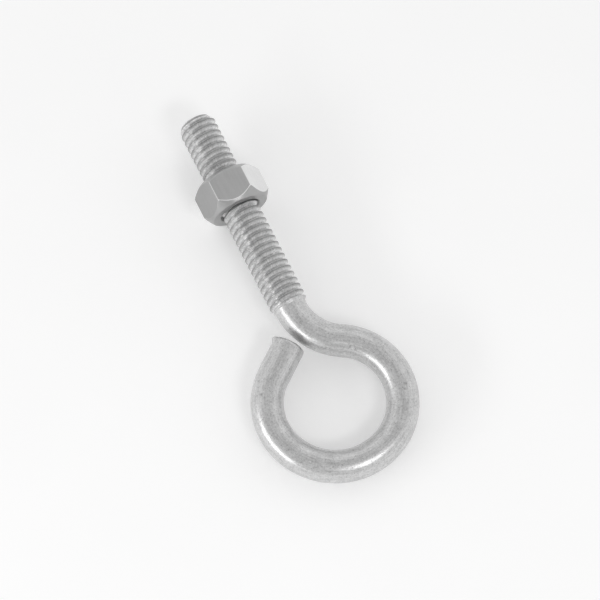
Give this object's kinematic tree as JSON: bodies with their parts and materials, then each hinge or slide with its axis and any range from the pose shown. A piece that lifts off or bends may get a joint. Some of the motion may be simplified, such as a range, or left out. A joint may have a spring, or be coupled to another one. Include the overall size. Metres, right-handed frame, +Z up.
{
  "type": "eye bolt",
  "caption": "Bent-wire eye bolt: a round steel bar with a rolled thread and an open-ended round eye, carrying a plain hexagon nut.",
  "frame": {"origin": "centre of the eye's clear opening, in the plane of the eye", "axes": "+Y along the shank towards the threaded tip, +Z square to the plane of the eye, +X to the side that the bar bends to as it leaves the shank; lying flat with +Z up"},
  "size_m": [0.0334, 0.0824, 0.013],
  "materials": {
    "zinc_bar": "zinc-plated steel wire, satin with fine pits",
    "zinc_nut": "zinc-plated steel, smooth flats"
  },
  "bodies": {
    "bolt": {"eye_bolt": "zinc_bar"},
    "nut_travel_carrier": {"nut_bearing_face": "zinc_nut"},
    "nut": {"hex_nut": "zinc_nut"}
  },
  "joints": [
    {"name": "nut_travel", "type": "slide", "parent": "bolt", "child": "nut_travel_carrier", "axis": [0, 1, 0], "range_m": [-0.02187, 0.01341]},
    {"name": "nut_turn", "type": "hinge", "parent": "nut_travel_carrier", "child": "nut", "pos_m": [0.0008, 0.04485, 0], "axis": [0, 1, 0], "range_deg": [-5585, 3425]}
  ],
  "couplings": [
    {"joint": "nut_turn", "follows": "nut_travel", "rad_per_m": 4452.7}
  ]
}
